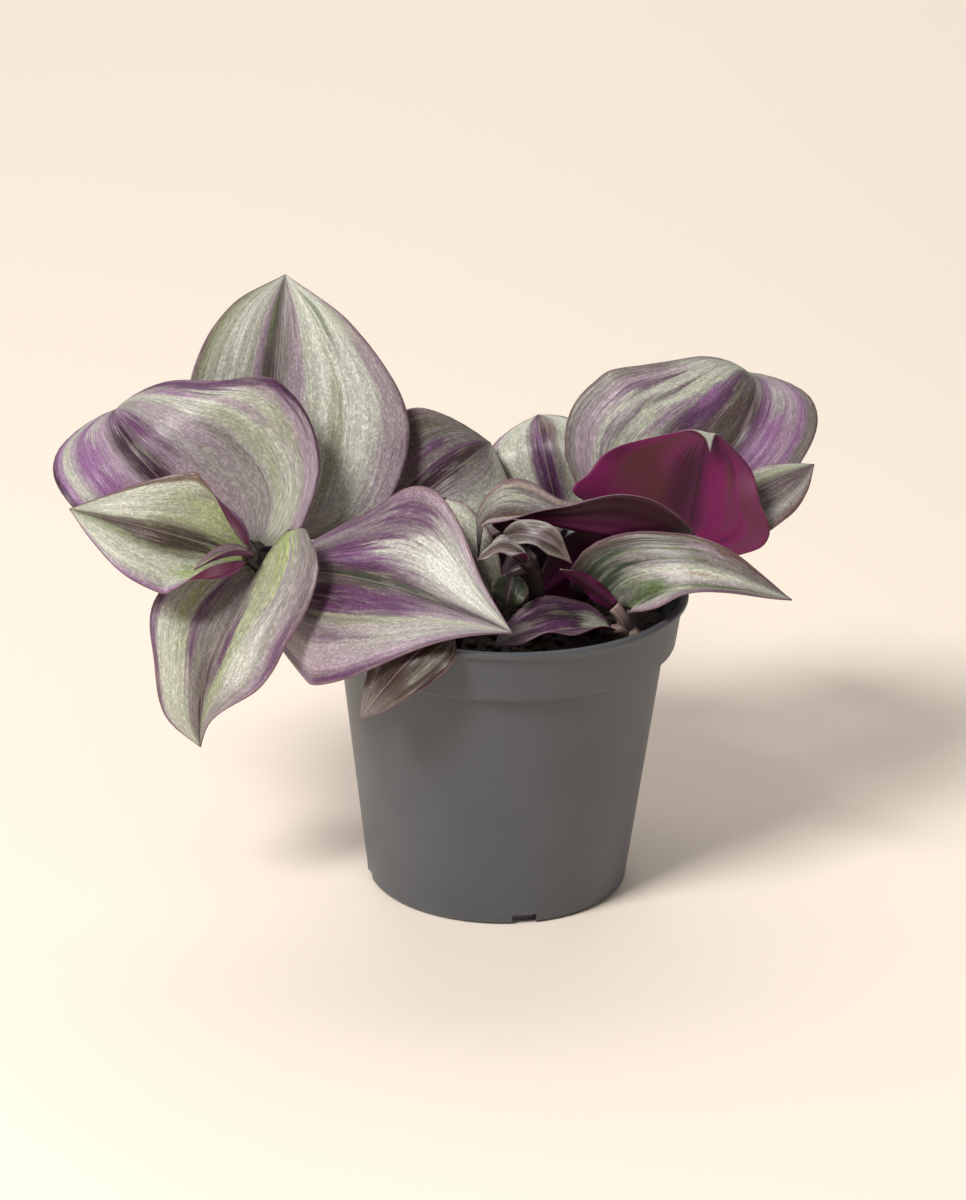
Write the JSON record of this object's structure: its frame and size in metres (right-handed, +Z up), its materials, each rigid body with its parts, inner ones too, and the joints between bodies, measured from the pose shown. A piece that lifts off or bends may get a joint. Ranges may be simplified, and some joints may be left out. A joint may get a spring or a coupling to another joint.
{
  "type": "potted tradescantia",
  "caption": "Young trailing house plant with broad pointed leaves, striped silver, green and purple, rooted in soil in a small tapered plastic nursery pot with a flared rim.",
  "frame": {"origin": "centre of the pot's underside, on the surface it stands on", "axes": "+Z up along the pot's axis; -Y toward the front of the plant; +X to the right, along its widest spread"},
  "size_m": [0.1847, 0.132, 0.1412],
  "materials": {
    "pot": "moulded, satin matt",
    "soil": "loose and crumbly",
    "stem": "smooth, slightly glossy",
    "leaf": "satin with a silvery sheen",
    "young_leaf": "satin"
  },
  "bodies": {
    "root": {"leaf-back-left": "leaf", "leaf-back-middle": "leaf", "leaf-centre-folded": "leaf", "leaf-centre-narrow": "leaf", "leaf-core-front": "leaf", "leaf-core-left": "leaf", "leaf-core-middle": "leaf", "leaf-front-folded": "leaf", "leaf-front-large": "leaf", "leaf-inside-rim": "leaf", "leaf-left-broad": "leaf", "leaf-left-drooping": "leaf", "leaf-left-small": "leaf", "leaf-left-tall": "leaf", "leaf-left-young": "young_leaf", "leaf-middle-arched": "leaf", "leaf-middle-curl": "leaf", "leaf-middle-shaded": "leaf", "leaf-over-rim": "leaf", "leaf-rear-left": "leaf", "leaf-rear-middle": "leaf", "leaf-rear-right": "leaf", "leaf-right-broad": "leaf", "leaf-right-low": "leaf", "leaf-right-narrow": "leaf", "leaf-right-upright": "leaf", "pot": "pot", "soil": "soil", "stem-back": "stem", "stem-back-left": "stem", "stem-back-right": "stem", "stem-centre": "stem", "stem-front-right": "stem", "stem-left": "stem", "stem-middle": "stem", "stem-right": "stem", "stem-rim": "stem"}
  },
  "joints": []
}
